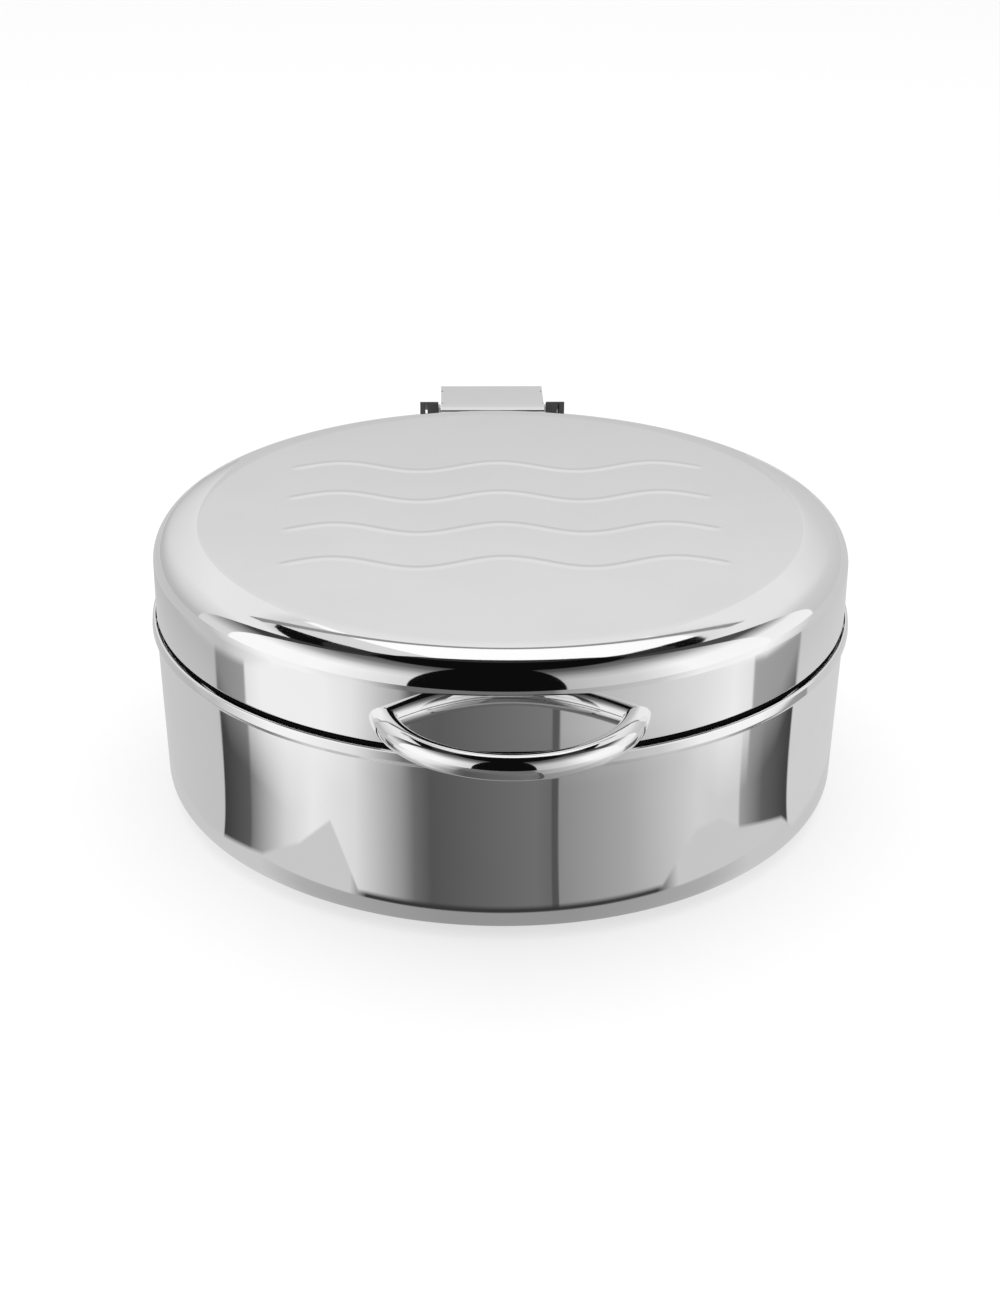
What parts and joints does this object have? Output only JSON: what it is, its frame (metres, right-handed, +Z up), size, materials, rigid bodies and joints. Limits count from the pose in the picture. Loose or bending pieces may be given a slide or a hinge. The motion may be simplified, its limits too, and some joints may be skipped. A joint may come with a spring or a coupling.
{
  "type": "chafing dish",
  "caption": "Round polished-steel chafing dish: water pan with a flared rim, lift-out food pan, and a lid on a rear spring hinge that opens by a bowed bar handle.",
  "frame": {"origin": "on the table, under the centre of the round dish, at the middle of the base's lower face", "axes": "+Z up, -Y towards the handle at the front, +Y towards the hinge, +X to the right seen from the front"},
  "size_m": [0.4009, 0.4917, 0.1617],
  "materials": {
    "polished_steel": "mirror-polished stainless steel",
    "satin_steel": "satin stainless steel",
    "hinge_casting": "cast steel with a dark coating",
    "seal_rubber": "black silicone",
    "fastener_steel": "turned stainless steel",
    "spring_steel": "drawn spring wire",
    "core_aluminium": "rolled aluminium",
    "bush_plastic": "natural acetal"
  },
  "bodies": {
    "base": {"body_shell": "polished_steel", "base_core": "core_aluminium", "base_cap": "satin_steel", "seat_ring": "satin_steel", "hinge_bracket": "hinge_casting", "bracket_screws": "fastener_steel", "bracket_backing_plate": "satin_steel", "hinge_bushes": "bush_plastic", "spring_rod": "fastener_steel", "spring_left": "spring_steel", "spring_right": "spring_steel"},
    "pan": {"food_pan": "satin_steel"},
    "lid": {"lid_shell": "polished_steel", "lid_seal": "seal_rubber", "lid_handle": "polished_steel", "handle_screws": "fastener_steel", "handle_washers": "fastener_steel", "hinge_arm": "polished_steel", "arm_screws": "fastener_steel", "arm_backing_plate": "satin_steel", "hinge_pin": "fastener_steel", "pin_rings": "spring_steel", "spring_sleeve": "bush_plastic"}
  },
  "joints": [
    {"name": "lid_hinge", "type": "hinge", "parent": "base", "child": "lid", "pos_m": [0, 0.2232, 0.142], "axis": [-1, 0, 0], "range_deg": [0, 90], "deforming": ["spring_left", "spring_right"]},
    {"name": "pan_lift", "type": "slide", "parent": "base", "child": "pan", "axis": [0, 0, 1], "range_m": [0, 0.04]}
  ]
}
